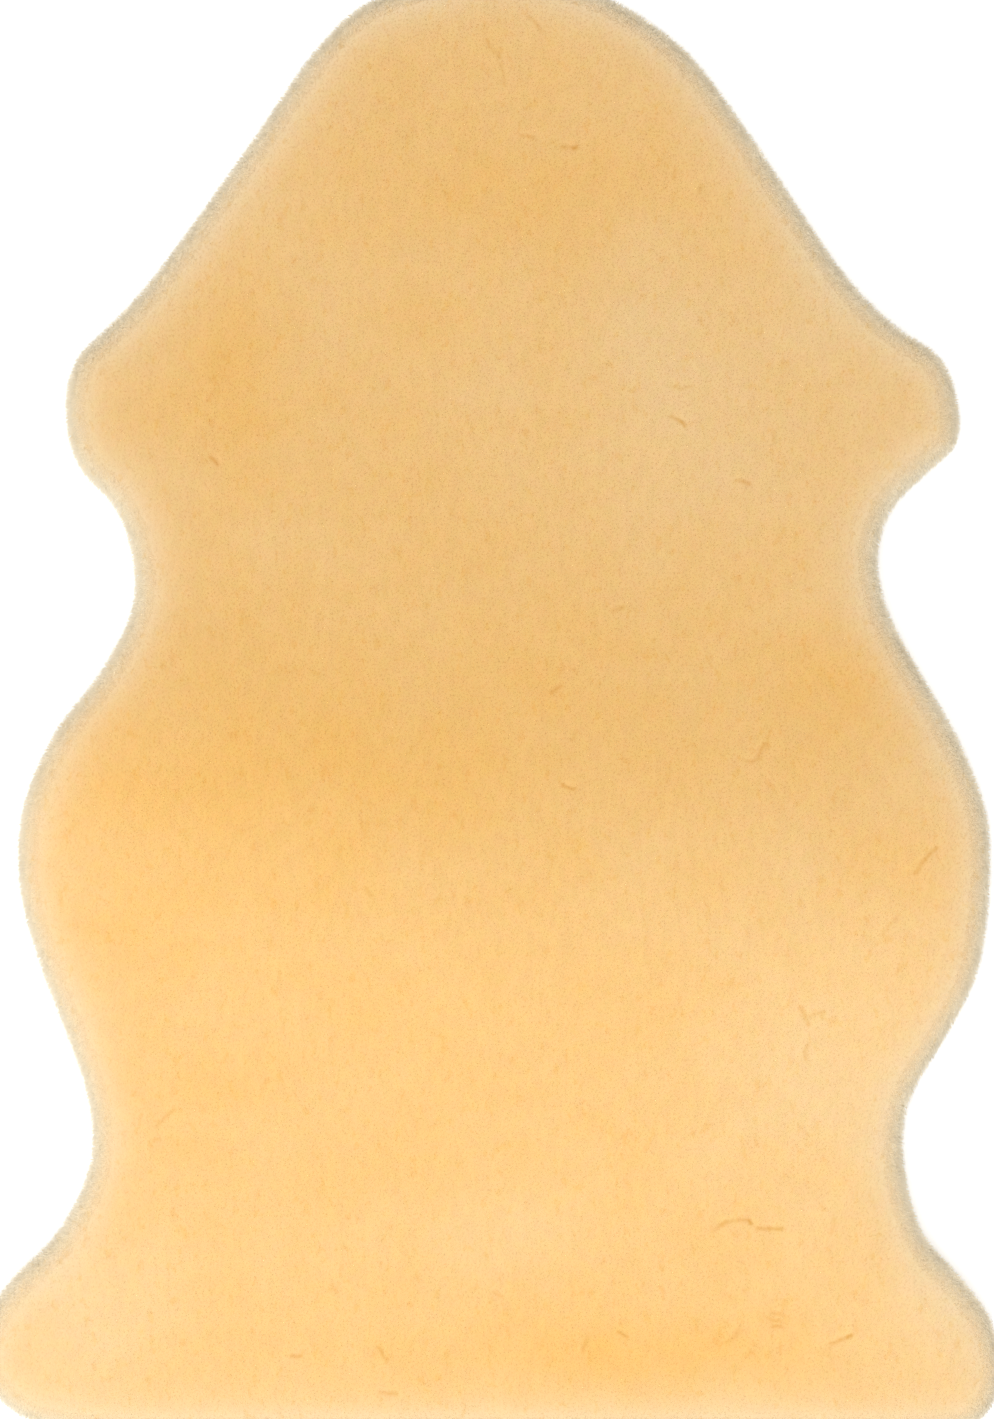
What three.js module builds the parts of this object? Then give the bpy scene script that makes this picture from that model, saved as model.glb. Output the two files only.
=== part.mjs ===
// A short-clipped sheepskin rug lying flat on the floor, wool side up.
// It is one skin: a flat leather hide underneath with its own dense wool standing on it. The wool leans
// out past the cut edge of the hide all round and rolls over in a soft rim.
// Millimetres, +Z up, +Y towards the neck end. The origin is on the floor under the middle of the skin.
import * as THREE from "three";

// Driving sizes.
const SKIN_LENGTH = 955; // neck end to tail edge, over the wool
const HIDE_THICKNESS = 2;
const HIDE_INSET = 12; // how far the cut edge of the hide lies inside the outline of the wool
const TOTAL_HEIGHT = 30; // hide and clipped pile together
const WIDEST_HEIGHT = 11; // height of the furthest reach of the wool at the rim
const RIM_ROLL = 36; // how far in from the outline the wool takes to reach its full height

// Mesh sizes.
const STEPS_PER_POINT = 3; // outline samples between two points of the tables
const ROLL_STEPS = [2.5, 6.5, 12, 19, 28, 40]; // rings over the rolled rim, measured in from the outline
const INNER_RINGS = 7; // rings from there towards the middle line
const INNERMOST_SHARE = 0.87; // how near the last of them comes to the middle line
const MIDDLE_SHARE = 0.66; // length of the middle line, as a share of the skin's
const MIDDLE_STEPS = 24; // steps between the points along the middle line

// The outline of the wool seen from above: where it ends on either side at each level down the skin.
const NECK_CROWN = { x: 3, y: 477 };
const SECTIONS = [
  { place: "neck", y: 471, left: -38, right: 45 },
  { place: "neck", y: 455, left: -83, right: 85 },
  { place: "neck shoulders", y: 425, left: -115, right: 127 },
  { place: "slopes", y: 375, left: -150, right: 166 },
  { place: "slopes", y: 327, left: -184, right: 198 },
  { place: "slopes", y: 272, left: -225, right: 237 },
  { place: "roots of the fore flaps", y: 246, left: -249, right: 264 },
  { place: "fore flaps", y: 226, left: -269, right: 292 },
  { place: "fore flaps", y: 203, left: -277, right: 303 },
  { place: "fore flaps", y: 169, left: -275, right: 304 },
  { place: "under the fore flaps", y: 149, left: -266, right: 285 },
  { place: "arm bays", y: 127, left: -246, right: 263 },
  { place: "arm bays", y: 98, left: -235, right: 253 },
  { place: "arm bays", y: 64, left: -234, right: 258 },
  { place: "upper flanks", y: 21, left: -255, right: 280 },
  { place: "upper flanks", y: -19, left: -285, right: 303 },
  { place: "flanks", y: -71, left: -306, right: 323 },
  { place: "flanks", y: -122, left: -307, right: 325 },
  { place: "lower flanks", y: -176, left: -292, right: 317 },
  { place: "lower flanks", y: -215, left: -277, right: 298 },
  { place: "thigh bays", y: -262, left: -262, right: 272 },
  { place: "thigh bays", y: -300, left: -262, right: 270 },
  { place: "thigh bays", y: -343, left: -283, right: 282 },
  { place: "hind flaps", y: -374, left: -313, right: 308 },
  { place: "hind flaps", y: -400, left: -329, right: 326 },
  { place: "hind flaps", y: -437, left: -331, right: 333 },
  { place: "tail corners", y: -462, left: -309, right: 323 },
  { place: "tail corners", y: -473, left: -276, right: 305 },
];
const TAIL_EDGE = { y: -477, reach: 225, steps: 5 };

// The cross-section of the edge below the furthest reach of the wool, from the floor upwards.
const EDGE_PROFILE = [
  { place: "cut edge of the hide, underneath", insetShare: 1, height: 0 },
  { place: "cut edge of the hide, on top", insetShare: 1, height: HIDE_THICKNESS },
  { place: "wool leaving the hide", insetShare: 0.5, height: 2.8 },
  { place: "wool turning up", insetShare: 0.12, height: 5.5 },
];

// The soft unevenness of the clipped pile: long low waves that cross each other.
const PILE_WAVES = [
  { acrossLength: 310, alongLength: 240, phase: 0.4, height: 0.8 },
  { acrossLength: -190, alongLength: 265, phase: 2.1, height: 0.6 },
  { acrossLength: 145, alongLength: -410, phase: 4.4, height: 0.5 },
];

// The outline's points, clockwise from the neck crown.
function outlinePoints() {
  const rightSide = SECTIONS.map(({ y, right }) => ({ x: right, y }));
  const leftSide = SECTIONS.map(({ y, left }) => ({ x: left, y })).reverse();
  const tailEdge = Array.from({ length: TAIL_EDGE.steps + 1 }, (_, i) => {
    return { x: THREE.MathUtils.lerp(TAIL_EDGE.reach, -TAIL_EDGE.reach, i / TAIL_EDGE.steps), y: TAIL_EDGE.y };
  });
  return [NECK_CROWN, ...rightSide, ...tailEdge, ...leftSide].map(({ x, y }) => new THREE.Vector3(x, y, 0));
}

// The outline as a smooth closed loop of points, scaled to the driving length and centred on the origin.
function outlineLoop() {
  const points = outlinePoints();
  const curve = new THREE.CatmullRomCurve3(points, true, "centripetal");
  const steps = points.length * STEPS_PER_POINT;
  const loop = Array.from({ length: steps }, (_, i) => curve.getPoint(i / steps));
  const box = new THREE.Box3().setFromPoints(loop);
  const centre = box.getCenter(new THREE.Vector3());
  const scale = SKIN_LENGTH / (box.max.y - box.min.y);
  return loop.map((point) => point.sub(centre).multiplyScalar(scale));
}

// The unit direction into the skin at each point of a clockwise loop.
function inwardDirections(loop) {
  return loop.map((_, i) => {
    const before = loop.at(i - 1);
    const after = loop[(i + 1) % loop.length];
    const along = after.clone().sub(before).normalize();
    return new THREE.Vector3(along.y, -along.x, 0);
  });
}

// How far a point inside the skin lies from its outline.
function insetOf(point, loop) {
  const nearest = new THREE.Vector3();
  const side = new THREE.Line3();
  const distances = loop.map((start, i) => {
    side.set(start, loop[(i + 1) % loop.length]);
    return side.closestPointToPoint(point, true, nearest).distanceTo(point);
  });
  return Math.min(...distances);
}

// The height of the wool's surface over a point of the skin, which lies flat in the loop's own plane.
function pileHeight(point, loop) {
  const along = Math.min(insetOf(point, loop) / RIM_ROLL, 1);
  const roll = Math.sqrt(1 - (1 - along) ** 2);
  const wave = PILE_WAVES.reduce((sum, { acrossLength, alongLength, phase, height }) => {
    const turns = point.x / acrossLength + point.y / alongLength;
    return sum + height * (Math.sin(2 * Math.PI * turns + phase) - 1);
  }, 0);
  return WIDEST_HEIGHT + (TOTAL_HEIGHT - WIDEST_HEIGHT + wave) * roll;
}

// The rings of the edge below the furthest reach of the wool, each an even inset of the outline.
function edgeRings(loop) {
  const inward = inwardDirections(loop);
  return EDGE_PROFILE.map(({ insetShare, height }) => {
    return loop.map((point, i) => {
      return point.clone().addScaledVector(inward[i], HIDE_INSET * insetShare).setZ(height);
    });
  });
}

// The rings of the wool's upper surface, from the outline in towards the middle line of the skin.
function pileRings(loop) {
  const rings = [loop.map((point) => point.clone().setZ(WIDEST_HEIGHT))];
  const middle = loop.map((point) => new THREE.Vector3(0, point.y * MIDDLE_SHARE, 0));
  const addRing = (shareOf) => {
    const ring = loop.map((point, i) => {
      const placed = point.clone().lerp(middle[i], shareOf(point.distanceTo(middle[i])));
      return placed.setZ(pileHeight(placed, loop));
    });
    rings.push(ring);
  };
  for (const step of ROLL_STEPS) addRing((reach) => step / reach);
  const rollEnd = ROLL_STEPS.at(-1);
  for (let ring = 1; ring <= INNER_RINGS; ring += 1) {
    addRing((reach) => THREE.MathUtils.lerp(rollEnd / reach, INNERMOST_SHARE, ring / INNER_RINGS));
  }
  return rings;
}

// Points evenly along the middle line of the skin, from the neck end to the tail end.
function middlePoints(loop) {
  const reach = (SKIN_LENGTH / 2) * MIDDLE_SHARE;
  return Array.from({ length: MIDDLE_STEPS + 1 }, (_, i) => {
    const point = new THREE.Vector3(0, THREE.MathUtils.lerp(reach, -reach, i / MIDDLE_STEPS), 0);
    return point.setZ(pileHeight(point, loop));
  });
}

// The triangles that fill the hide's underside, facing down.
function undersideTriangles(ring) {
  const contour = ring.map(({ x, y }) => new THREE.Vector2(x, y));
  return THREE.ShapeUtils.triangulateShape(contour, []).map(([a, b, c]) => [a, c, b]);
}

// The triangles that join two neighbouring rings of equal count.
function bandTriangles(low, high, count) {
  return Array.from({ length: count }, (_, i) => {
    const next = (i + 1) % count;
    return [
      [low + i, high + i, low + next],
      [low + next, high + i, high + next],
    ];
  }).flat();
}

// The triangles that join the innermost ring to the points along the middle line.
function middleTriangles(loop, ringStart, middleStart) {
  const nearest = loop.map(({ y }) => Math.round(MIDDLE_STEPS * (0.5 - y / SKIN_LENGTH)));
  return loop.flatMap((_, i) => {
    const next = (i + 1) % loop.length;
    const triangles = [[ringStart + i, middleStart + nearest[i], ringStart + next]];
    const step = Math.sign(nearest[next] - nearest[i]);
    for (let at = nearest[i]; at !== nearest[next]; at += step) {
      triangles.push([ringStart + next, middleStart + at, middleStart + at + step]);
    }
    return triangles;
  });
}

// The whole skin as one closed body.
function skinGeometry() {
  const loop = outlineLoop();
  const rings = [...edgeRings(loop), ...pileRings(loop)];
  const count = loop.length;
  const innermost = (rings.length - 1) * count;
  const index = undersideTriangles(rings[0]);
  for (let low = 0; low < innermost; low += count) index.push(...bandTriangles(low, low + count, count));
  index.push(...middleTriangles(loop, innermost, rings.length * count));
  const positions = [...rings.flat(), ...middlePoints(loop)].flatMap(({ x, y, z }) => [x, y, z]);
  const geometry = new THREE.BufferGeometry();
  geometry.setAttribute("position", new THREE.Float32BufferAttribute(positions, 3));
  geometry.setIndex(index.flat());
  geometry.computeVertexNormals();
  return geometry;
}

const fleece = new THREE.MeshStandardMaterial({ color: 0xefc382, roughness: 0.95, metalness: 0 });
const sheepskin = new THREE.Mesh(skinGeometry(), fleece);
sheepskin.name = "sheepskin";

const rug = new THREE.Group();
rug.add(sheepskin);
export default rug;
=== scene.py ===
"""A short-clipped honey-coloured sheepskin rug, lying flat with its wool up.

The hide is a thin suede sheet. The fleece stands on it as a soft body, and clipped wool tips cover the
body all over and fan out at its rim. Everything is in metres, in the frame's own axes: +Y to the neck.
"""

import math

import bmesh
import bpy
import numpy as np
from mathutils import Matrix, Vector
from mathutils.kdtree import KDTree


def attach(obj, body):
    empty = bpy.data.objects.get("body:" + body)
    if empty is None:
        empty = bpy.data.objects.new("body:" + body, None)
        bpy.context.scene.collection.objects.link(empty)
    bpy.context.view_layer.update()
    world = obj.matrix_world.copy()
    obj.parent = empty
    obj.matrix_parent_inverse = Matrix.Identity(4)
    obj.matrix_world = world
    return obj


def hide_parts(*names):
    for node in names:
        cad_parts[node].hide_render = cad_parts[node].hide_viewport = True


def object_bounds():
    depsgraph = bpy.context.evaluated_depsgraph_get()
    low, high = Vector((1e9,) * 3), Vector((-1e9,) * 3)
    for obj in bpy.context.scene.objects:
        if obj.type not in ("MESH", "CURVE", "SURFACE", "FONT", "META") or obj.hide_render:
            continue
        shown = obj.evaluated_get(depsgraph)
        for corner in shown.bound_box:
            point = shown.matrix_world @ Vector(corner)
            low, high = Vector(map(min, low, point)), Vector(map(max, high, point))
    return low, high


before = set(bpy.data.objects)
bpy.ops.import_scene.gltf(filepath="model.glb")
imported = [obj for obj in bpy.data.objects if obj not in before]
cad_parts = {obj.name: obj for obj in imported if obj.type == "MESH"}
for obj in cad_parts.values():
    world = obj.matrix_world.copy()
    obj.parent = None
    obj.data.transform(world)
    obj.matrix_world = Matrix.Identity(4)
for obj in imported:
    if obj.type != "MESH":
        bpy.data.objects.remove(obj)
cad_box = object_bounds()

# Sizes of the skin, in metres.
SKIN = "sheepskin"  # the frame's node
HIDE_THICKNESS = 0.002
HIDE_INSET = 0.012  # from the outline of the wool to the cut edge of the hide
HIDE_EDGE_ROUND = 0.0004  # how far the cut edge is rounded
WOOL_FOOT = 0.0016  # where the wool leaves the edge of the hide
WIDEST_HEIGHT = 0.011  # where the wool reaches furthest out at the rim
PILE_TOP = cad_box[1].z
RIM_ROLL = 0.036  # how far in from the outline the wool takes to reach its full height
TIP_RISE = 0.0007  # how far the wool tips stand out of the fleece's body on top
RIM_RISE = 0.0039  # and at the rim
RIM_INSET = 0.0040  # from the outline of the wool to the fleece's body
LOWEST_WOOL = 0.0003  # the wool stays at least this far above the hide's underside

# Long low waves of the clipped pile, as in the frame.
PILE_WAVES = [
    {"across": 0.310, "along": 0.240, "phase": 0.4, "height": 0.0008},
    {"across": -0.190, "along": 0.265, "phase": 2.1, "height": 0.0006},
    {"across": 0.145, "along": -0.410, "phase": 4.4, "height": 0.0005},
]

# Small uneven patches that the shears leave.
SHEAR_PATCHES = [
    {"size": 0.060, "amount": 0.00035, "seed": 10},
    {"size": 0.022, "amount": 0.00012, "seed": 11},
]

# Where the wool is a deeper honey (+) or paler (-) than elsewhere: the middle and reach of each soft patch.
HONEY_PATCHES = [
    {"place": "neck", "x": 0.010, "y": 0.335, "across": 0.075, "along": 0.035, "depth": 0.25},
    {"place": "left shoulder", "x": -0.168, "y": 0.215, "across": 0.030, "along": 0.070, "depth": 0.30},
    {"place": "right shoulder", "x": 0.135, "y": 0.205, "across": 0.100, "along": 0.090, "depth": -0.38},
    {"place": "right flank", "x": 0.228, "y": 0.012, "across": 0.050, "along": 0.045, "depth": 0.36},
    {"place": "left flank", "x": -0.165, "y": -0.055, "across": 0.110, "along": 0.100, "depth": 0.33},
    {"place": "middle", "x": -0.025, "y": -0.040, "across": 0.070, "along": 0.070, "depth": 0.22},
    {"place": "waist", "x": 0.0, "y": 0.0, "across": 0.25, "along": 0.07, "depth": 0.16},
    {"place": "right thigh", "x": 0.210, "y": -0.245, "across": 0.080, "along": 0.090, "depth": -0.38},
    {"place": "rump", "x": 0.005, "y": -0.340, "across": 0.090, "along": 0.028, "depth": -0.25},
    {"place": "tail", "x": 0.095, "y": -0.420, "across": 0.110, "along": 0.022, "depth": 0.38},
    {"place": "left hind flap", "x": -0.265, "y": -0.400, "across": 0.060, "along": 0.060, "depth": -0.55},
    {"place": "right hind flap", "x": 0.285, "y": -0.400, "across": 0.045, "along": 0.060, "depth": -0.45},
]
HONEY_LEVEL = 0.54  # elsewhere, between the palest wool (0) and the deepest (1)
HONEY_CLOUDS = [
    {"size": 0.050, "amount": 0.10, "seed": 21},
    {"size": 0.018, "amount": 0.09, "seed": 22},
]

# Painted light: the wool is painted a little brighter over the hind part, for how the light falls there.
HIND_START = 0.010  # where that starts along the skin
HIND_FULL = -0.210  # and where it is full
HIND_BOW = 0.50  # how much sooner that starts towards the flanks, in metres for each square metre
HIND_TILT = 0.14  # and how much sooner towards the left, in metres for each metre
HIND_PAINTED_LIGHT = 0.13  # and how much brighter it is painted

# Partings where the wool lies open: middle, length, turn in degrees and bow of each, and how deep it is.
PARTINGS = [
    {"x": 0.0287, "y": 0.4391, "length": 0.012, "turn": -50, "bow": 0.2, "depth": 0.35},
    {"x": 0.0010, "y": 0.4223, "length": 0.014, "turn": -50, "bow": -0.2, "depth": 0.30},
    {"x": 0.0079, "y": 0.4064, "length": 0.014, "turn": -80, "bow": 0.1, "depth": 0.30},
    {"x": 0.0541, "y": 0.3586, "length": 0.002, "turn": 30, "bow": 0.0, "depth": 1.00},
    {"x": 0.0500, "y": 0.3590, "length": 0.008, "turn": 0, "bow": 0.0, "depth": 0.60},
    {"x": 0.0232, "y": 0.3662, "length": 0.008, "turn": -5, "bow": 0.1, "depth": 0.45},
    {"x": 0.0670, "y": 0.3439, "length": 0.012, "turn": -80, "bow": 0.0, "depth": 0.25},
    {"x": 0.1185, "y": 0.3420, "length": 0.006, "turn": 80, "bow": 0.0, "depth": 0.45},
    {"x": 0.1347, "y": 0.3321, "length": 0.005, "turn": 70, "bow": 0.0, "depth": 0.30},
    {"x": 0.1211, "y": 0.1824, "length": 0.010, "turn": -35, "bow": 0.1, "depth": 0.80},
    {"x": 0.1231, "y": 0.2032, "length": 0.012, "turn": 0, "bow": -0.4, "depth": 0.30},
    {"x": 0.1624, "y": 0.1433, "length": 0.009, "turn": -12, "bow": 0.3, "depth": 0.60},
    {"x": 0.1824, "y": 0.1730, "length": 0.006, "turn": 90, "bow": 0.0, "depth": 0.30},
    {"x": -0.1784, "y": 0.1566, "length": 0.007, "turn": -40, "bow": 0.2, "depth": 0.70},
    {"x": -0.1804, "y": 0.1982, "length": 0.007, "turn": 60, "bow": 0.0, "depth": 0.35},
    {"x": 0.0823, "y": 0.0605, "length": 0.007, "turn": 20, "bow": -0.2, "depth": 0.50},
    {"x": 0.0419, "y": 0.0093, "length": 0.008, "turn": 30, "bow": 0.2, "depth": 0.50},
    {"x": 0.0541, "y": -0.0208, "length": 0.006, "turn": 60, "bow": 0.0, "depth": 0.30},
    {"x": 0.0497, "y": -0.0545, "length": 0.008, "turn": -20, "bow": -0.3, "depth": 0.65},
    {"x": 0.1746, "y": -0.0297, "length": 0.009, "turn": 60, "bow": 0.1, "depth": 0.60},
    {"x": 0.1710, "y": -0.0367, "length": 0.006, "turn": 20, "bow": 0.0, "depth": 0.45},
    {"x": -0.0793, "y": -0.1214, "length": 0.006, "turn": -50, "bow": 0.0, "depth": 0.35},
    {"x": 0.2829, "y": -0.0976, "length": 0.013, "turn": 45, "bow": 0.1, "depth": 0.55},
    {"x": 0.2758, "y": -0.1061, "length": 0.008, "turn": 65, "bow": -0.1, "depth": 0.50},
    {"x": 0.2577, "y": -0.1427, "length": 0.016, "turn": 50, "bow": 0.0, "depth": 0.30},
    {"x": 0.2030, "y": -0.2022, "length": 0.012, "turn": -70, "bow": 0.0, "depth": 0.50},
    {"x": 0.2101, "y": -0.2002, "length": 0.009, "turn": 15, "bow": 0.0, "depth": 0.35},
    {"x": 0.2030, "y": -0.2245, "length": 0.008, "turn": 80, "bow": 0.2, "depth": 0.40},
    {"x": -0.2101, "y": -0.2666, "length": 0.016, "turn": 45, "bow": 0.2, "depth": 0.35},
    {"x": 0.1457, "y": -0.3385, "length": 0.006, "turn": 35, "bow": 0.0, "depth": 0.40},
    {"x": 0.1504, "y": -0.3356, "length": 0.003, "turn": 35, "bow": 0.0, "depth": 0.95},
    {"x": 0.1586, "y": -0.3334, "length": 0.017, "turn": 3, "bow": 0.3, "depth": 0.40},
    {"x": 0.1668, "y": -0.3345, "length": 0.002, "turn": -60, "bow": 0.0, "depth": 0.95},
    {"x": 0.1799, "y": -0.3390, "length": 0.016, "turn": 0, "bow": -0.15, "depth": 0.60},
    {"x": 0.2210, "y": -0.3370, "length": 0.009, "turn": 75, "bow": -0.2, "depth": 0.35},
    {"x": 0.1487, "y": -0.3846, "length": 0.011, "turn": 5, "bow": -0.5, "depth": 0.25},
    {"x": 0.1487, "y": -0.3975, "length": 0.011, "turn": -20, "bow": 0.5, "depth": 0.25},
    {"x": 0.1846, "y": -0.3940, "length": 0.004, "turn": 0, "bow": 0.0, "depth": 0.40},
    {"x": 0.1846, "y": -0.3985, "length": 0.005, "turn": 0, "bow": 0.1, "depth": 0.50},
    {"x": 0.1846, "y": -0.4023, "length": 0.005, "turn": 3, "bow": 0.0, "depth": 0.50},
    {"x": 0.1576, "y": -0.4084, "length": 0.014, "turn": 50, "bow": -0.5, "depth": 0.30},
    {"x": 0.1675, "y": -0.4163, "length": 0.014, "turn": 60, "bow": 0.5, "depth": 0.25},
    {"x": 0.2307, "y": -0.4082, "length": 0.003, "turn": 30, "bow": 0.0, "depth": 1.00},
    {"x": 0.2242, "y": -0.4111, "length": 0.011, "turn": 24, "bow": 0.0, "depth": 0.60},
    {"x": 0.2178, "y": -0.4172, "length": 0.007, "turn": 72, "bow": 0.0, "depth": 0.25},
    {"x": 0.0046, "y": -0.3816, "length": 0.006, "turn": -30, "bow": 0.0, "depth": 0.35},
    {"x": 0.0606, "y": -0.4133, "length": 0.009, "turn": 70, "bow": 0.1, "depth": 0.40},
    {"x": 0.0850, "y": -0.4069, "length": 0.006, "turn": -30, "bow": 0.0, "depth": 0.60},
    {"x": -0.1257, "y": -0.4213, "length": 0.006, "turn": 0, "bow": 0.0, "depth": 0.60},
    {"x": -0.0696, "y": -0.4198, "length": 0.010, "turn": -60, "bow": 0.1, "depth": 0.50},
    {"x": -0.0664, "y": -0.4450, "length": 0.010, "turn": -5, "bow": 0.0, "depth": 0.45},
]
PARTING_WIDTH = 0.0014  # half the width of a parting
PARTING_WANDER = {"size": 0.0035, "amount": 0.0005, "seed": 60}  # how it wanders from its line
PARTING_UNEVEN = {"size": 0.0025, "amount": 0.4, "seed": 61}  # how its depth differs along it
PARTING_END = 5  # how far past its length it may still be felt, in half widths
LIP_PLACE = 2.2  # where the painted highlight along its lip lies, in half widths from its line
# how bright the painted highlight along a parting's lip is
LIP_PAINTED_HIGHLIGHT = 0.05
PUSH_SHARPNESS = 2  # how suddenly the wool is pushed the other way across its line
CLEAR_PARTING = 0.3  # from this depth on the body is cut finer round a parting
CLEAR_REACH = 0.004  # how far past its ends that goes on
CLEAR_CUTS = 5  # across each edge there

# Mesh sizes.
SAME_LEVEL = 1e-5  # heights nearer than this are one level
SPLINE_CUTS = 24  # of the smooth curve between two points of the frame's outline
FINE_STEP = 0.001  # along the outline, for measuring distances to it
OUTLINE_STEP = 0.004  # along the outline of the pieces
FIELD_STEP = 0.002  # cells of the map of distances to the outline
FIELD_MARGIN = 4  # how many of them lie outside the outline
MIDDLE_SHARE = 0.66  # the middle line of the skin, as a share of its length
MIDDLE_STEPS = 60  # along that line
ROLL_STEPS = [0.0015, 0.0035, 0.006, 0.009, 0.0125, 0.0165, 0.021, 0.026, 0.032, 0.040]  # in from the rim
INNER_RINGS = 28  # from there towards the middle line
INNERMOST_SHARE = 0.97  # how near the last of them comes to it
UNDER_RINGS = 6  # from the edge of the hide up to the widest level

# Wool tips.
TOP_BANDS = [
    {"spacing": 0.00120, "start": 0.0080, "end": 0.0160},
    {"spacing": 0.00190, "start": 0.0160, "end": math.inf},
]
TIP_SHAKE = 0.4  # how far a tip stands from its even place, as a share of the spacing
TIP_RADIUS = 0.00050  # of a tip's foot on top
RIM_RADIUS = 0.00038  # and at the rim
RADIUS_RANGE = (0.8, 1.2)  # how much single tips differ from those
LEAST_UPRIGHT = 0.55  # a leaning tip's foot is longer than it is wide, by 1 to this at the most
ROOT_DEPTH = 0.4  # how far the foot of a tip is sunk in the body, as a share of its radius
RIM_SPACING = 0.00108  # between the tips at the rim
RIM_LOWEST = math.radians(80)  # how far round below the widest reach the rim's tips go
RIM_ANGLES = 400  # steps for measuring the way round the rim
FAN_REACH = 0.010  # how far in the tips still fan outwards
RIM_REACH = 0.014  # how far in from the outline the wool is painted paler and greyer, for the light through its fibres and the shade along its roll
EDGE_START = 0.0025  # how far in the painted light at the very edge is at its strongest
EDGE_REACH = 0.006  # and how far in from there that painted light reaches
TOP_PIECES = ["neck", "shoulder", "flank", "tail"]  # what the top's tips are split into
NORMAL_SOFTNESS = 0.28  # how far the light on a tip follows the fleece's surface
RIM_SOFTNESS = 0.65  # the same at the rim
RIM_LIFT = 0.75  # how far the light on the rim's tips comes from above
TIP_PAINTED_LIGHT = 1.16  # painted light: how much brighter the tips are painted than the body between them, for the light that their shaded sides miss
TONE_RANGE = (0.985, 1.015)  # how much the brightness of single tips differs from that
TOP_UNEVEN = 0.25  # how much the lengths of the tips differ
RIM_UNEVEN = 0.30  # and at the rim
SLOPE_STEP = 0.001  # for measuring the slope of the fleece's body

# How the tips lie, with angles in radians. The nap runs to the tail and swings to either side.
NAP_SWINGS = [
    {"size": 0.14, "amount": 0.3, "seed": 1},
    {"size": 0.035, "amount": 0.2, "seed": 2},
]
NAP_SCATTER = 0.35  # how far single tips differ from that
TIP_LEAN = math.radians(32)
LEAN_SWING = {"size": 0.05, "amount": 0.06, "seed": 3}
LEAN_SCATTER = 0.08  # how far single tips differ from that
PARTING_PUSH = 2.5  # how strongly a parting pushes the tips to its sides
PARTING_CUT = 0.5  # how much shorter they are in it
LOCK_SIZE = 0.007  # how wide the small locks are in which the rim's wool hangs together
LOCK_SKEW = (1.7, -1.3)  # how far the locks shift across and along the skin with their height
LOCK_SEEDS = [40, 41, 42]
LOCK_PULL = 0.35  # how strongly a lock draws its tips its own way
FAN_SCATTER = 0.20  # how far single tips at the rim differ
FAN_NAP = 0.3  # how far they follow the nap
LEAST_FACING = 0.4  # a leaning tip is longer than its rise, by 1 to this at the most

# Colours as they are seen, from 0 to 255. A tint multiplies the colour under it.
PALE_HONEY = (234, 201, 150)
DEEP_HONEY = (235, 187, 109)
GREENISH_TINT = (253, 255, 248)
PINKISH_TINT = (255, 252, 255)
ROOT_TINT = (252, 249, 243)
FLECK_TINT = (252, 246, 232)
# the deeper wool in a parting, with painted shade in the slit
PARTING_DEEP_WOOL_AND_SHADE = (233, 211, 162)
RIM_PAINTED_LIGHT_AND_SHADE = (222, 215, 191)
EDGE_PAINTED_LIGHT = (241, 228, 202)
DARK_SUEDE = (226, 206, 172)
LIGHT_SUEDE = (238, 222, 194)
SUEDE_NAP = (206, 182, 146)
SUEDE_NAP_SHARE = 0.35
DARK_FLOOR = (249, 249, 249)
LIGHT_FLOOR = (252, 252, 252)
WHITE = (1.0, 1.0, 1.0, 1.0)

# The studio.
FLOOR_REACH = 40.0  # from the middle to its sides
FLOOR_LEVEL = -0.0002  # a hair below the hide, so that the two don't share one plane
FLOOR_GLOW = 0.2  # it shines a little, like a light table
ROUND_LIGHT = 1.07  # the white light from all round
LAMP_SIZE = 2.4
LAMP_POWER = 25  # in watts
LAMP_PLACE = (-1.1, -1.2, 2.35)
LAMP_AIM = (0.0, -0.1, 0.0)
LENS = 85  # in millimetres
SENSOR = 36  # in millimetres
VIEW_CENTRE = (0.0039, -0.0039)  # the place in the middle of the picture
VIEW_HEIGHT = 0.92235  # how much the picture's height shows where the wool is widest


def unit(vectors):
    """The vectors, each at a length of one."""
    return vectors / np.linalg.norm(vectors, axis=-1)[..., None]


def spline_loop(points, step):
    """A closed smooth curve through the points, cut into even steps."""
    count = len(points)
    spans = np.arange(count)[:, None]
    t = np.linspace(0, 1, SPLINE_CUTS, endpoint=False)[None, :, None]
    before, start, end, after = (points[(spans + k) % count] for k in (-1, 0, 1, 2))
    bend = 0.5 * (2 * start + (end - before) * t
                  + (2 * before - 5 * start + 4 * end - after) * t ** 2
                  + (3 * start - before - 3 * end + after) * t ** 3)
    fine = bend.reshape(-1, 2)
    closed = np.vstack([fine, fine[:1]])
    run = np.concatenate([[0], np.cumsum(np.linalg.norm(np.diff(closed, axis=0), axis=1))])
    at = np.linspace(0, run[-1], round(run[-1] / step), endpoint=False)
    return np.column_stack([np.interp(at, run, closed[:, 0]), np.interp(at, run, closed[:, 1])])


def frame_outline(mesh):
    """The outline of the frame's solid, from the ring of points where it is widest, clockwise."""
    co = np.array([v.co for v in mesh.vertices])
    widest = co[np.abs(co[:, 2] - WIDEST_HEIGHT) < SAME_LEVEL]
    ring = np.unique(np.round(widest[:, :2], 6), axis=0)
    order = [int(np.argmax(ring[:, 1]))]
    left = set(range(len(ring))) - set(order)
    while left:
        rest = np.fromiter(left, int)
        gaps = np.linalg.norm(ring[rest] - ring[order[-1]], axis=1)
        if len(order) == 1:  # the first step goes to the right
            gaps[ring[rest, 0] < ring[order[0], 0]] = np.inf
        order.append(int(rest[np.argmin(gaps)]))
        left.remove(order[-1])
    return ring[order]


def inward_directions(loop):
    """The unit direction into the skin at each point of a clockwise loop."""
    along = unit(np.roll(loop, -1, 0) - np.roll(loop, 1, 0))
    return np.column_stack([along[:, 1], -along[:, 0]])


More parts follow.
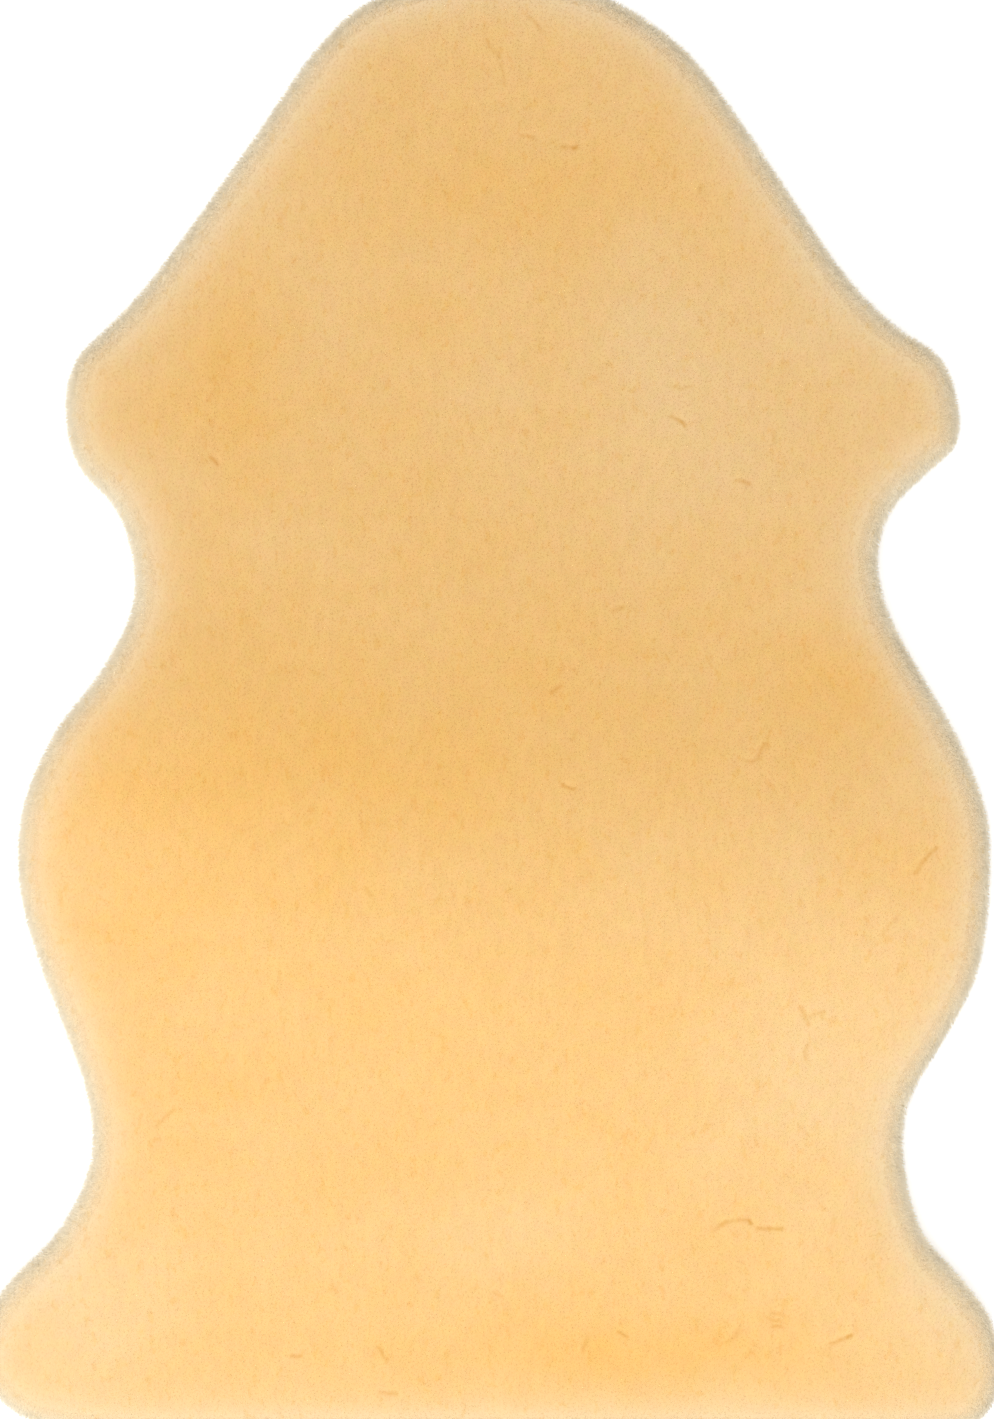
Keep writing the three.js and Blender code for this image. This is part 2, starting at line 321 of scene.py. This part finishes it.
class InsetMap:
    """How far any place lies in from the outline of the skin. It is below zero outside."""

    def __init__(self, loop):
        inward = inward_directions(loop)
        tree = KDTree(len(loop))
        for index, (x, y) in enumerate(loop):
            tree.insert((x, y, 0), index)
        tree.balance()
        self.low = loop.min(0) - FIELD_MARGIN * FIELD_STEP
        columns, rows = np.ceil((loop.max(0) - self.low) / FIELD_STEP).astype(int) + FIELD_MARGIN + 1
        cells = np.meshgrid(np.arange(columns), np.arange(rows), indexing="ij")
        places = (self.low + FIELD_STEP * np.stack(cells, -1)).reshape(-1, 2)
        nearest = np.array([tree.find((x, y, 0))[1] for x, y in places])
        offset = places - loop[nearest]
        side = np.sign(np.sum(offset * inward[nearest], axis=1))
        self.inset = (side * np.linalg.norm(offset, axis=1)).reshape(columns, rows)

    def __call__(self, x, y):
        last_u, last_v = np.array(self.inset.shape) - 1.001  # just inside the last cell
        u = np.clip((x - self.low[0]) / FIELD_STEP, 0, last_u)
        v = np.clip((y - self.low[1]) / FIELD_STEP, 0, last_v)
        i, j = u.astype(int), v.astype(int)
        u, v = u - i, v - j
        return ((1 - u) * (1 - v) * self.inset[i, j] + u * (1 - v) * self.inset[i + 1, j]
                + (1 - u) * v * self.inset[i, j + 1] + u * v * self.inset[i + 1, j + 1])


def smooth_step(value, start, full):
    """From 0 at the start to 1 at the full value, without a corner."""
    share = np.clip((value - start) / (full - start), 0, 1)
    return share * share * (3 - 2 * share)


def soft_noise(x, y, size, seed):
    """Smooth random values from -1 to 1 that change over the given size."""
    cells = 64  # across the table, which repeats beyond them
    shift = 1000  # so that no cell's number is below zero
    table = np.random.default_rng(seed).uniform(-1, 1, (cells, cells))
    u, v = x / size + shift, y / size + shift
    i, j = np.floor(u).astype(int), np.floor(v).astype(int)
    u, v = smooth_step(u - i, 0, 1), smooth_step(v - j, 0, 1)
    i, j, after_i, after_j = i % cells, j % cells, (i + 1) % cells, (j + 1) % cells
    return ((1 - u) * (1 - v) * table[i, j] + u * (1 - v) * table[after_i, j]
            + (1 - u) * v * table[i, after_j] + u * v * table[after_i, after_j])


def noise_of(row, x, y):
    """Soft noise of the size, amount and seed that a row of a table gives."""
    return row["amount"] * soft_noise(x, y, row["size"], row["seed"])


def parting_at(x, y):
    """How far the wool is parted at a place, how bright the painted highlight along its lip is, and which
    way it is pushed.
    """
    depth, lip_highlight, push_x, push_y = (np.zeros_like(x) for _ in range(4))
    wander = noise_of(PARTING_WANDER, x, y)
    strength = 1 + noise_of(PARTING_UNEVEN, x, y)
    for line in PARTINGS:
        turn = math.radians(line["turn"])
        near = np.hypot(x - line["x"], y - line["y"]) < line["length"] + PARTING_END * PARTING_WIDTH
        dx, dy = x[near] - line["x"], y[near] - line["y"]
        along = dx * math.cos(turn) + dy * math.sin(turn)
        across = dy * math.cos(turn) - dx * math.sin(turn)
        across += line["bow"] * along ** 2 / line["length"] + wander[near]
        past = np.maximum(np.abs(along) - line["length"] / 2, 0) / PARTING_WIDTH
        side = across / PARTING_WIDTH
        open_share = np.exp(-side ** 2 - past ** 2) * line["depth"] * strength[near]
        depth[near] = np.maximum(depth[near], open_share)
        lip_highlight[near] += np.exp(-(side - LIP_PLACE) ** 2 - past ** 2) * line["depth"]
        push = open_share * np.tanh(PUSH_SHARPNESS * side)
        push_x[near] -= push * math.sin(turn)
        push_y[near] += push * math.cos(turn)
    return depth, lip_highlight, push_x, push_y


def honey_at(x, y):
    """How deep the honey colour of the wool is at a place."""
    honey = np.full_like(x, HONEY_LEVEL)
    for patch in HONEY_PATCHES:
        reach = ((x - patch["x"]) / patch["across"]) ** 2 + ((y - patch["y"]) / patch["along"]) ** 2
        honey += patch["depth"] * np.exp(-reach)
    return honey + sum(noise_of(row, x, y) for row in HONEY_CLOUDS)


def painted_light_at(x, y):
    """How bright the wool is painted at a place, as a share of its brightness over the hind part: painted
    light over the hind part and a painted highlight along the partings' lips.
    """
    hind = smooth_step(HIND_BOW * x ** 2 - HIND_TILT * x - y, -HIND_START, -HIND_FULL)
    lip_highlight = parting_at(x, y)[1]
    return 1 + HIND_PAINTED_LIGHT * (hind - 1) + LIP_PAINTED_HIGHLIGHT * lip_highlight


def pile_rise(x, y):
    """How far the fleece's body stands over the widest level where it has its full height."""
    wave = sum(w["height"] * (np.sin(2 * np.pi * (x / w["across"] + y / w["along"]) + w["phase"]) - 1)
               for w in PILE_WAVES)
    patch = sum(noise_of(row, x, y) for row in SHEAR_PATCHES)
    return PILE_TOP - TIP_RISE - WIDEST_HEIGHT + wave + patch


def body_height(x, y):
    """The height of the fleece's body, under its tips."""
    along = np.clip((inset_map(x, y) - RIM_INSET) / RIM_ROLL, 0, 1)
    return WIDEST_HEIGHT + pile_rise(x, y) * np.sqrt(1 - (1 - along) ** 2)


def set_attributes(mesh, attributes):
    """Give each point of the mesh its floating-point values."""
    for key, values in attributes.items():
        layer = mesh.attributes.new(key, "FLOAT", "POINT")
        layer.data.foreach_set("value", np.ascontiguousarray(values, np.float32))


def mesh_object(name, vertices, faces, attributes=None):
    """A new object of the given points and faces, with its floating-point attributes."""
    mesh = bpy.data.meshes.new(name)
    if isinstance(faces, np.ndarray):
        mesh.vertices.add(len(vertices))
        mesh.vertices.foreach_set("co", np.ascontiguousarray(vertices, np.float32).ravel())
        mesh.loops.add(faces.size)
        mesh.loops.foreach_set("vertex_index", faces.ravel().astype(np.int32))
        mesh.polygons.add(len(faces))
        mesh.polygons.foreach_set("loop_start", np.arange(0, faces.size, faces.shape[1], dtype=np.int32))
        mesh.update(calc_edges=True)
    else:
        mesh.from_pydata(vertices.tolist(), [], faces)
    set_attributes(mesh, attributes or {})
    mesh.shade_smooth()
    piece = bpy.data.objects.new(name, mesh)
    bpy.context.scene.collection.objects.link(piece)
    return piece


def ring_bands(rings, count):
    """The faces that join neighbouring rings of equal count."""
    at = np.arange(count)
    after = (at + 1) % count
    low = np.arange(rings - 1)[:, None] * count
    high = low + count
    return np.stack([low + at, high + at, high + after, low + after], -1).reshape(-1, 4).tolist()


def middle_faces(loop, ring_start, middle_start):
    """The faces that join the innermost ring to the points along the middle line."""
    share = (loop[:, 1].max() - loop[:, 1]) / np.ptp(loop[:, 1])
    nearest = np.round(MIDDLE_STEPS * share).astype(int)
    count = len(loop)
    faces = []
    for i in range(count):
        after = (i + 1) % count
        faces.append([ring_start + i, middle_start + int(nearest[i]), ring_start + after])
        step = int(np.sign(nearest[after] - nearest[i]))
        for at in range(int(nearest[i]), int(nearest[after]), step or 1):
            faces.append([ring_start + after, middle_start + at, middle_start + at + step])
    return faces


def make_hide():
    """The tanned hide: a thin sheet with a soft cut edge."""
    inward = inward_directions(outline)
    profile = [
        {"inset": HIDE_EDGE_ROUND, "height": 0.0},
        {"inset": 0.0, "height": HIDE_EDGE_ROUND},
        {"inset": 0.0, "height": HIDE_THICKNESS - HIDE_EDGE_ROUND},
        {"inset": HIDE_EDGE_ROUND, "height": HIDE_THICKNESS},
    ]
    count = len(outline)
    rings = []
    for row in profile:
        place = outline + inward * (HIDE_INSET + row["inset"])
        rings.append(np.column_stack([place, np.full(count, row["height"])]))
    at = np.arange(count)
    caps = [at.tolist(), (at[::-1] + (len(rings) - 1) * count).tolist()]
    piece = mesh_object("hide", np.vstack(rings), ring_bands(len(rings), count) + caps)
    for face in piece.data.polygons:  # the two wide faces are flat, and the edge between them is smooth
        face.use_smooth = len(face.vertices) == 4
    return piece


def wool_attributes(x, y, tip, tone_and_tip_light):
    """What the wool's material takes from each point."""
    inset = np.maximum(inset_map(x, y), 0)
    return {
        "tip": tip,
        "tone_and_tip_light": tone_and_tip_light,
        "light": painted_light_at(x, y),
        "honey": honey_at(x, y),
        # how strongly the rim's painted light and shade lie at each point
        "rim": np.exp(-inset / RIM_REACH),
        # how strongly the painted light at the very edge lies at each point
        "edge": np.exp(-np.maximum(inset - EDGE_START, 0) / EDGE_REACH),
        "parting": parting_at(x, y)[0],
    }


def fleece_rings(edge, inward):
    """The rings of the fleece's body, from the hide's edge out to the rim and over to the middle line."""
    count = len(edge)
    rings = []
    for k in range(UNDER_RINGS):
        angle = math.pi / 2 * (1 - k / UNDER_RINGS)
        inset = RIM_INSET + (HIDE_INSET + HIDE_EDGE_ROUND - RIM_INSET) * (1 - math.cos(angle))
        height = WIDEST_HEIGHT - (WIDEST_HEIGHT - WOOL_FOOT) * math.sin(angle)
        rings.append(np.column_stack([outline + inward * inset, np.full(count, height)]))
    rings.append(np.column_stack([edge, np.full(count, WIDEST_HEIGHT)]))
    middle = np.column_stack([np.zeros(count), edge[:, 1] * MIDDLE_SHARE])
    reach = np.linalg.norm(middle - edge, axis=1)
    roll_end = ROLL_STEPS[-1] / reach
    shares = [step / reach for step in ROLL_STEPS]
    shares += [roll_end + (INNERMOST_SHARE - roll_end) * k / INNER_RINGS for k in range(1, INNER_RINGS + 1)]
    for share in shares:
        place = edge + (middle - edge) * share[:, None]
        rings.append(np.column_stack([place, body_height(place[:, 0], place[:, 1])]))
    line_y = np.linspace(edge[:, 1].max(), edge[:, 1].min(), MIDDLE_STEPS + 1) * MIDDLE_SHARE
    line_x = np.zeros_like(line_y)
    rings.append(np.column_stack([line_x, line_y, body_height(line_x, line_y)]))
    return rings


def make_fleece():
    """The body of the wool, cut finer round the clear partings."""
    inward = inward_directions(outline)
    edge = outline + inward * RIM_INSET
    count = len(outline)
    rings = fleece_rings(edge, inward)
    ring_count = len(rings) - 1
    faces = ring_bands(ring_count, count)
    faces.append(list(range(count)))
    faces += middle_faces(edge, (ring_count - 1) * count, ring_count * count)
    piece = mesh_object("fleece", np.vstack(rings), faces)
    cut_finer(piece.data)
    points = np.array([vertex.co for vertex in piece.data.vertices])
    x, y = points[:, 0], points[:, 1]
    top = points[:, 2] > WIDEST_HEIGHT + SAME_LEVEL
    points[top, 2] = body_height(x[top], y[top])
    piece.data.vertices.foreach_set("co", points.ravel())
    set_attributes(piece.data, wool_attributes(x, y, np.zeros_like(x), np.ones_like(x)))
    return piece


def cut_finer(mesh):
    """Cut the body's faces finer round the clear partings, so that each shows as a sharp line."""
    clear = [line for line in PARTINGS if line["depth"] >= CLEAR_PARTING]
    work = bmesh.new()
    work.from_mesh(mesh)
    edges = {}  # these keep their order, so that each run cuts them alike
    for face in work.faces:
        centre = face.calc_center_median()
        near = any(math.hypot(centre.x - line["x"], centre.y - line["y"]) < line["length"] / 2 + CLEAR_REACH
                   for line in clear)
        if near and centre.z > WIDEST_HEIGHT:
            edges.update(dict.fromkeys(face.edges))
    bmesh.ops.subdivide_edges(work, edges=list(edges), cuts=CLEAR_CUTS, use_grid_fill=True)
    work.to_mesh(mesh)
    work.free()


def wool_tips(name, roots, normals, directions, lengths, radii, tone_and_tip_light):
    """One slim closed spike of wool for each root, its foot flat in the fleece's body."""
    count = len(roots)
    fan = fan_at(roots[:, 0], roots[:, 1])[:, None]
    softness = NORMAL_SOFTNESS + (RIM_SOFTNESS - NORMAL_SOFTNESS) * fan
    lit = unit(normals + np.array([0, 0, RIM_LIFT]) * fan)
    side = unit(np.cross(directions, normals + 1e-6))  # the nudge gives an upright tip a side too
    along = np.cross(normals, side)
    stretch = 1 / np.maximum(np.sum(directions * normals, axis=1), LEAST_UPRIGHT)
    spin = random.uniform(0, 2 * np.pi, count)
    corners = np.empty((count, 4, 3))
    soft = np.empty((count, 4, 3))
    for k in range(3):
        angle = spin + k * 2 * np.pi / 3
        radial = side * np.cos(angle)[:, None] + along * (stretch * np.sin(angle))[:, None]
        corners[:, k] = roots + (radial - normals * ROOT_DEPTH) * radii[:, None]
        soft[:, k] = lit * softness + unit(radial) * (1 - softness)
    corners[:, 3] = roots + directions * lengths[:, None]
    soft[:, 3] = lit * softness + directions * (1 - softness)
    corners[..., 2] = np.maximum(corners[..., 2], LOWEST_WOOL)
    base = np.arange(count)[:, None, None] * 4
    faces = (base + np.array([[0, 1, 3], [1, 2, 3], [2, 0, 3], [0, 2, 1]])).reshape(-1, 3)
    points = corners.reshape(-1, 3)
    tip = np.tile([0.0, 0.0, 0.0, 1.0], count)
    attributes = wool_attributes(points[:, 0], points[:, 1], tip, np.repeat(tone_and_tip_light, 4))
    piece = mesh_object(name, points, faces, attributes)
    piece.data.normals_split_custom_set_from_vertices(unit(soft).reshape(-1, 3).tolist())
    return piece


def top_roots():
    """Even, slightly shaken places for the tips over the whole top, closer together near the rim."""
    low, high = outline.min(0), outline.max(0)
    places = []
    for band in TOP_BANDS:
        spacing = band["spacing"]
        xs = np.arange(low[0], high[0], spacing)
        ys = np.arange(low[1], high[1], spacing * math.sqrt(3) / 2)
        x, y = np.meshgrid(xs, ys)
        x = x + (np.arange(len(ys)) % 2)[:, None] * spacing / 2
        x = x.ravel() + random.uniform(-TIP_SHAKE, TIP_SHAKE, x.size) * spacing
        y = y.ravel() + random.uniform(-TIP_SHAKE, TIP_SHAKE, y.size) * spacing
        inset = inset_map(x, y)
        keep = (inset > band["start"]) & (inset <= band["end"])
        places.append(np.column_stack([x, y])[keep])
    return np.vstack(places).T


def fan_at(x, y):
    """How far the wool fans outwards at a place, from 1 at the rim to 0 over the top."""
    return np.exp(-(np.maximum(inset_map(x, y), 0) / FAN_REACH) ** 2)


def lie_of_wool(roots, normals):
    """The direction, length, thickness, and random tone with painted light, of the tip at each root."""
    x, y, z = roots.T
    count = len(x)
    fan = fan_at(x, y)[:, None]
    swing = sum(noise_of(row, x, y) for row in NAP_SWINGS) + random.normal(0, NAP_SCATTER, count)
    nap = np.column_stack([np.sin(swing), -np.cos(swing), np.zeros(count)])
    parting, _, push_x, push_y = parting_at(x, y)
    nap += PARTING_PUSH * np.column_stack([push_x, push_y, np.zeros(count)])
    nap = unit(nap - normals * np.sum(nap * normals, axis=1)[:, None])
    lean = TIP_LEAN + noise_of(LEAN_SWING, x, y) + random.normal(0, LEAN_SCATTER, count)
    lying = normals * np.cos(lean)[:, None] + nap * np.sin(lean)[:, None]
    lock_x, lock_y = x + LOCK_SKEW[0] * z, y + LOCK_SKEW[1] * z
    locks = np.column_stack([soft_noise(lock_x, lock_y, LOCK_SIZE, seed) for seed in LOCK_SEEDS])
    scatter = random.normal(0, FAN_SCATTER, normals.shape)
    spreading = unit(normals + scatter + LOCK_PULL * locks + FAN_NAP * nap)
    directions = unit(lying * (1 - fan) + spreading * fan)
    fan = fan[:, 0]
    facing = np.maximum(np.sum(directions * normals, axis=1), LEAST_FACING)
    rise = TIP_RISE + (RIM_RISE - TIP_RISE) * fan
    uneven = 1 + random.uniform(-1, 1, count) * (TOP_UNEVEN + (RIM_UNEVEN - TOP_UNEVEN) * fan)
    lengths = rise * uneven * (1 - PARTING_CUT * parting) / facing
    radii = (TIP_RADIUS + (RIM_RADIUS - TIP_RADIUS) * fan) * random.uniform(*RADIUS_RANGE, count)
    # painted light that makes the tips brighter, with a random tone for each
    tone_and_tip_light = TIP_PAINTED_LIGHT * random.uniform(*TONE_RANGE, count)
    return directions, lengths, radii, tone_and_tip_light


def make_top_tips():
    """The clipped tips over the top, leaning with the nap, in bands from neck to tail."""
    x, y = top_roots()
    step = SLOPE_STEP
    z = body_height(x, y)
    slope_x = (body_height(x + step, y) - body_height(x - step, y)) / (2 * step)
    slope_y = (body_height(x, y + step) - body_height(x, y - step)) / (2 * step)
    normals = unit(np.column_stack([-slope_x, -slope_y, np.ones_like(x)]))
    roots = np.column_stack([x, y, z])
    lie = (roots, normals, *lie_of_wool(roots, normals))
    cuts = np.quantile(y, np.linspace(1, 0, len(TOP_PIECES) + 1))
    cuts[-1] = -math.inf
    pieces = []
    for name, high, low in zip(TOP_PIECES, cuts, cuts[1:]):
        inside = (y <= high) & (y > low)
        pieces.append(wool_tips("tips_" + name, *(values[inside] for values in lie)))
    return pieces


def rim_depth(angle):
    """How deep the rim's roll is, under or over its widest level."""
    return np.where(angle < 0, HIDE_INSET - RIM_INSET, RIM_ROLL)


def rim_height(angle, rise):
    """How tall the rim's roll is, under or over its widest level."""
    return np.where(angle < 0, WIDEST_HEIGHT - WOOL_FOOT, rise)


def rim_roots():
    """Even, shaken places on the rim's roll for its tips, and the way that the roll faces there."""
    inward = inward_directions(outline)
    count = len(outline)
    top_angle = math.acos(1 - (TOP_BANDS[0]["start"] - RIM_INSET) / RIM_ROLL)
    full_rise = PILE_TOP - TIP_RISE - WIDEST_HEIGHT
    angles = np.linspace(-RIM_LOWEST, top_angle, RIM_ANGLES)
    across = rim_depth(angles) * np.sin(angles)
    upwards = rim_height(angles, full_rise) * np.cos(angles)
    arc = np.cumsum(np.hypot(across, upwards) * (angles[1] - angles[0]))
    rows = round(arc[-1] / RIM_SPACING)
    columns = round(count * OUTLINE_STEP / RIM_SPACING)
    along_shake = random.uniform(-0.5, 0.5, rows * columns)
    round_shake = random.uniform(0, 1, rows * columns)
    along = (np.tile(np.arange(columns), rows) + along_shake) / columns * count
    round_rim = (np.repeat(np.arange(rows), columns) + round_shake) / rows * arc[-1]
    angle = np.interp(round_rim, arc, angles)
    at = np.floor(along).astype(int) % count
    share = (along - np.floor(along))[:, None]
    after = (at + 1) % count
    edge = outline[at] * (1 - share) + outline[after] * share
    inner = unit(inward[at] * (1 - share) + inward[after] * share)
    deep = rim_depth(angle)
    spot = edge + inner * (RIM_INSET + deep * (1 - np.cos(angle)))[:, None]
    tall = rim_height(angle, pile_rise(spot[:, 0], spot[:, 1]))
    normals = unit(np.column_stack([-inner * (np.cos(angle) / deep)[:, None], np.sin(angle) / tall]))
    return np.column_stack([spot, WIDEST_HEIGHT + tall * np.sin(angle)]), normals


def make_rim_tips():
    """The tips that fan out round the edge, from under the rim to where the top's own tips begin."""
    roots, normals = rim_roots()
    lie = (roots, normals, *lie_of_wool(roots, normals))
    left = roots[:, 0] < 0
    sides = {"tips_rim_left": left, "tips_rim_right": ~left}
    return [wool_tips(name, *(values[inside] for values in lie)) for name, inside in sides.items()]


def colour(seen):
    """A colour given as it is seen, from 0 to 255, as the linear colour that shaders take."""
    share = np.array(seen) / 255
    linear = np.where(share <= 0.04045, share / 12.92, ((share + 0.055) / 1.055) ** 2.4)
    return (*linear.tolist(), 1.0)


class Shading:
    """A material and short ways to add its nodes."""

    def __init__(self, name):
        self.material = bpy.data.materials.new(name)
        self.material.use_nodes = True
        self.nodes = self.material.node_tree.nodes
        self.links = self.material.node_tree.links
        self.surface = self.nodes["Principled BSDF"]
        self.place = self.nodes.new("ShaderNodeTexCoord").outputs["Object"]

    def put(self, socket, value):
        """Link the socket to an output, or set it to a plain value."""
        if hasattr(value, "is_output"):
            self.links.new(value, socket)
        else:
            socket.default_value = value

    def attribute(self, name):
        """A value that the mesh's points carry."""
        node = self.nodes.new("ShaderNodeAttribute")
        node.attribute_name = name
        return node.outputs["Fac"]

    def noise(self, scale, detail, stretch=(1, 1, 1)):
        """Fine random values over the surface. A stretch below 1 draws them out along that axis."""
        mapping = self.nodes.new("ShaderNodeMapping")
        mapping.inputs["Scale"].default_value = stretch
        self.links.new(self.place, mapping.inputs["Vector"])
        node = self.nodes.new("ShaderNodeTexNoise")
        node.inputs["Scale"].default_value = scale
        node.inputs["Detail"].default_value = detail
        self.links.new(mapping.outputs["Vector"], node.inputs["Vector"])
        return node.outputs["Fac"]

    def spread(self, value, low, high, to_low=0.0, to_high=1.0):
        """The value, softly spread from one range to the other."""
        node = self.nodes.new("ShaderNodeMapRange")
        node.interpolation_type = "SMOOTHSTEP"
        self.put(node.inputs["Value"], value)
        for key, number in (("From Min", low), ("From Max", high), ("To Min", to_low), ("To Max", to_high)):
            node.inputs[key].default_value = number
        return node.outputs["Result"]

    def mix(self, factor, a, b, blend="MIX"):
        """Two colours mixed. The numbered sockets are the node's colours."""
        node = self.nodes.new("ShaderNodeMix")
        node.data_type = "RGBA"
        node.blend_type = blend
        self.put(node.inputs["Factor"], factor)
        self.put(node.inputs[6], a)
        self.put(node.inputs[7], b)
        return node.outputs[2]

    def tint(self, under, tint, factor=1.0):
        """A colour multiplied by a tint."""
        return self.mix(factor, under, tint, blend="MULTIPLY")

    def maths(self, operation, a, b):
        """Two values combined."""
        node = self.nodes.new("ShaderNodeMath")
        node.operation = operation
        self.put(node.inputs[0], a)
        self.put(node.inputs[1], b)
        return node.outputs[0]

    def grey(self, value):
        """A value as a grey."""
        node = self.nodes.new("ShaderNodeCombineColor")
        for key in ("Red", "Green", "Blue"):
            self.links.new(value, node.inputs[key])
        return node.outputs["Color"]

    def set_surface(self, values):
        """Set what the surface is like, by the names of its sockets."""
        for key, value in values.items():
            self.put(self.surface.inputs[key], value)

    def bump(self, height, distance, strength):
        """Make the surface uneven where it is lit."""
        node = self.nodes.new("ShaderNodeBump")
        node.inputs["Distance"].default_value = distance
        node.inputs["Strength"].default_value = strength
        self.links.new(height, node.inputs["Height"])
        self.links.new(node.outputs["Normal"], self.surface.inputs["Normal"])


def wool_material():
    """Dense wool: honey yellow, deeper between the tips, painted paler and greyer where the pile rolls over
    at the rim for its light and shade, with painted light over the hind part and on the tips.
    """
    wool = Shading("wool")
    honey = wool.mix(wool.attribute("honey"), colour(PALE_HONEY), colour(DEEP_HONEY))
    hue = wool.spread(wool.noise(scale=110.0, detail=3.0), low=0.30, high=0.70)
    honey = wool.tint(honey, wool.mix(hue, colour(GREENISH_TINT), colour(PINKISH_TINT)))
    root = wool.tint(honey, colour(ROOT_TINT))
    body = wool.mix(wool.spread(wool.attribute("tip"), low=0.0, high=0.8), root, honey)
    streak = wool.noise(scale=200.0, detail=2.0, stretch=(1.0, 0.4, 1.0))
    streak = wool.spread(streak, low=0.30, high=0.70, to_low=0.975, to_high=1.012)
    # painted light over the hind part and along the partings' lips, times the streaks of the nap
    body = wool.tint(body, wool.grey(wool.maths("MULTIPLY", wool.attribute("light"), streak)))
    # painted light and shade at the rim: paler where light shines through the fibres, greyer where the roll
    # is in shade
    body = wool.mix(wool.attribute("rim"), body, colour(RIM_PAINTED_LIGHT_AND_SHADE))
    # painted light at the very edge, paler still
    body = wool.mix(wool.attribute("edge"), body, colour(EDGE_PAINTED_LIGHT))
    # the random tone of single tips, and the light painted on them to make them brighter than the body
    body = wool.tint(body, wool.grey(wool.attribute("tone_and_tip_light")))
    # darker in the partings: the deeper wool that shows there, with painted shade in the slit
    body = wool.tint(body, colour(PARTING_DEEP_WOOL_AND_SHADE), wool.attribute("parting"))
    fleck = wool.noise(scale=200.0, detail=3.0, stretch=(1.0, 0.6, 1.0))
    body = wool.tint(body, colour(FLECK_TINT), wool.spread(fleck, low=0.56, high=0.74))
    wool.set_surface({
        "Base Color": body,
        "Roughness": 0.95,
        "Specular IOR Level": 0.15,
        "Sheen Weight": 0.15,
        "Sheen Roughness": 0.6,
    })
    fuzz = wool.noise(scale=360.0, detail=4.0, stretch=(1.0, 0.5, 1.0))
    wool.bump(fuzz, distance=0.0008, strength=0.26)
    return wool.material


def suede_material():
    """The flesh side of the hide: pale suede with soft clouds and a fine nap."""
    suede = Shading("suede")
    cloud = suede.spread(suede.noise(scale=7.0, detail=4.0), low=0.3, high=0.7)
    body = suede.mix(cloud, colour(DARK_SUEDE), colour(LIGHT_SUEDE))
    nap = suede.spread(suede.noise(scale=260.0, detail=4.0), low=0.3, high=0.7)
    body = suede.mix(suede.maths("MULTIPLY", nap, SUEDE_NAP_SHARE), body, colour(SUEDE_NAP))
    suede.set_surface({
        "Base Color": body,
        "Roughness": 0.92,
        "Specular IOR Level": 0.2,
        "Sheen Weight": 0.2,
    })
    suede.bump(suede.noise(scale=420.0, detail=5.0), distance=0.0003, strength=0.6)
    return suede.material


def floor_material():
    """A plain near-white floor with a faint unevenness, which shines a little."""
    floor = Shading("studio_floor")
    cloud = floor.noise(scale=3.0, detail=2.0)
    floor.set_surface({
        "Base Color": floor.mix(cloud, colour(DARK_FLOOR), colour(LIGHT_FLOOR)),
        "Roughness": 0.8,
        "Specular IOR Level": 0.1,
        "Emission Color": WHITE,
        "Emission Strength": FLOOR_GLOW,
    })
    return floor.material


def make_stage():
    """A pale floor, soft light from all round, and a large soft lamp towards the tail's left corner."""
    corners = np.array([[-1, -1], [1, -1], [1, 1], [-1, 1]]) * FLOOR_REACH
    corners = np.column_stack([corners, np.full(len(corners), FLOOR_LEVEL)])
    floor = mesh_object("floor", corners, [[0, 1, 2, 3]])
    floor.data.materials.append(floor_material())
    world = bpy.data.worlds.new("studio")
    world.use_nodes = True
    world.node_tree.nodes["Background"].inputs["Color"].default_value = WHITE
    world.node_tree.nodes["Background"].inputs["Strength"].default_value = ROUND_LIGHT
    bpy.context.scene.world = world
    lamp = bpy.data.lights.new("soft_lamp", "AREA")
    lamp.shape = "SQUARE"
    lamp.size = LAMP_SIZE
    lamp.energy = LAMP_POWER
    holder = bpy.data.objects.new("soft_lamp", lamp)
    holder.location = LAMP_PLACE
    aim = Vector(LAMP_AIM) - holder.location
    holder.rotation_euler = aim.to_track_quat("-Z", "Y").to_euler()
    bpy.context.scene.collection.objects.link(holder)


def make_camera():
    """Straight above the skin, framed as in the photograph: its furthest edges just leave the picture."""
    camera = bpy.data.cameras.new("camera")
    camera.lens = LENS
    camera.sensor_width = SENSOR
    holder = bpy.data.objects.new("camera", camera)
    distance = VIEW_HEIGHT * LENS / SENSOR
    holder.location = (*VIEW_CENTRE, WIDEST_HEIGHT + distance)
    bpy.context.scene.collection.objects.link(holder)
    bpy.context.scene.camera = holder


random = np.random.default_rng(7)
make_camera()
outline_points = frame_outline(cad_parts[SKIN].data)
inset_map = InsetMap(spline_loop(outline_points, FINE_STEP))
outline = spline_loop(outline_points, OUTLINE_STEP)

hide = make_hide()
fleece = make_fleece()
tips = [*make_top_tips(), *make_rim_tips()]
wool = wool_material()
hide.data.materials.append(suede_material())
for piece in (fleece, *tips):
    piece.data.materials.append(wool)
for piece in (hide, fleece, *tips):
    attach(piece, "root")
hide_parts(SKIN)

make_stage()
bpy.context.scene.view_settings.view_transform = "Standard"
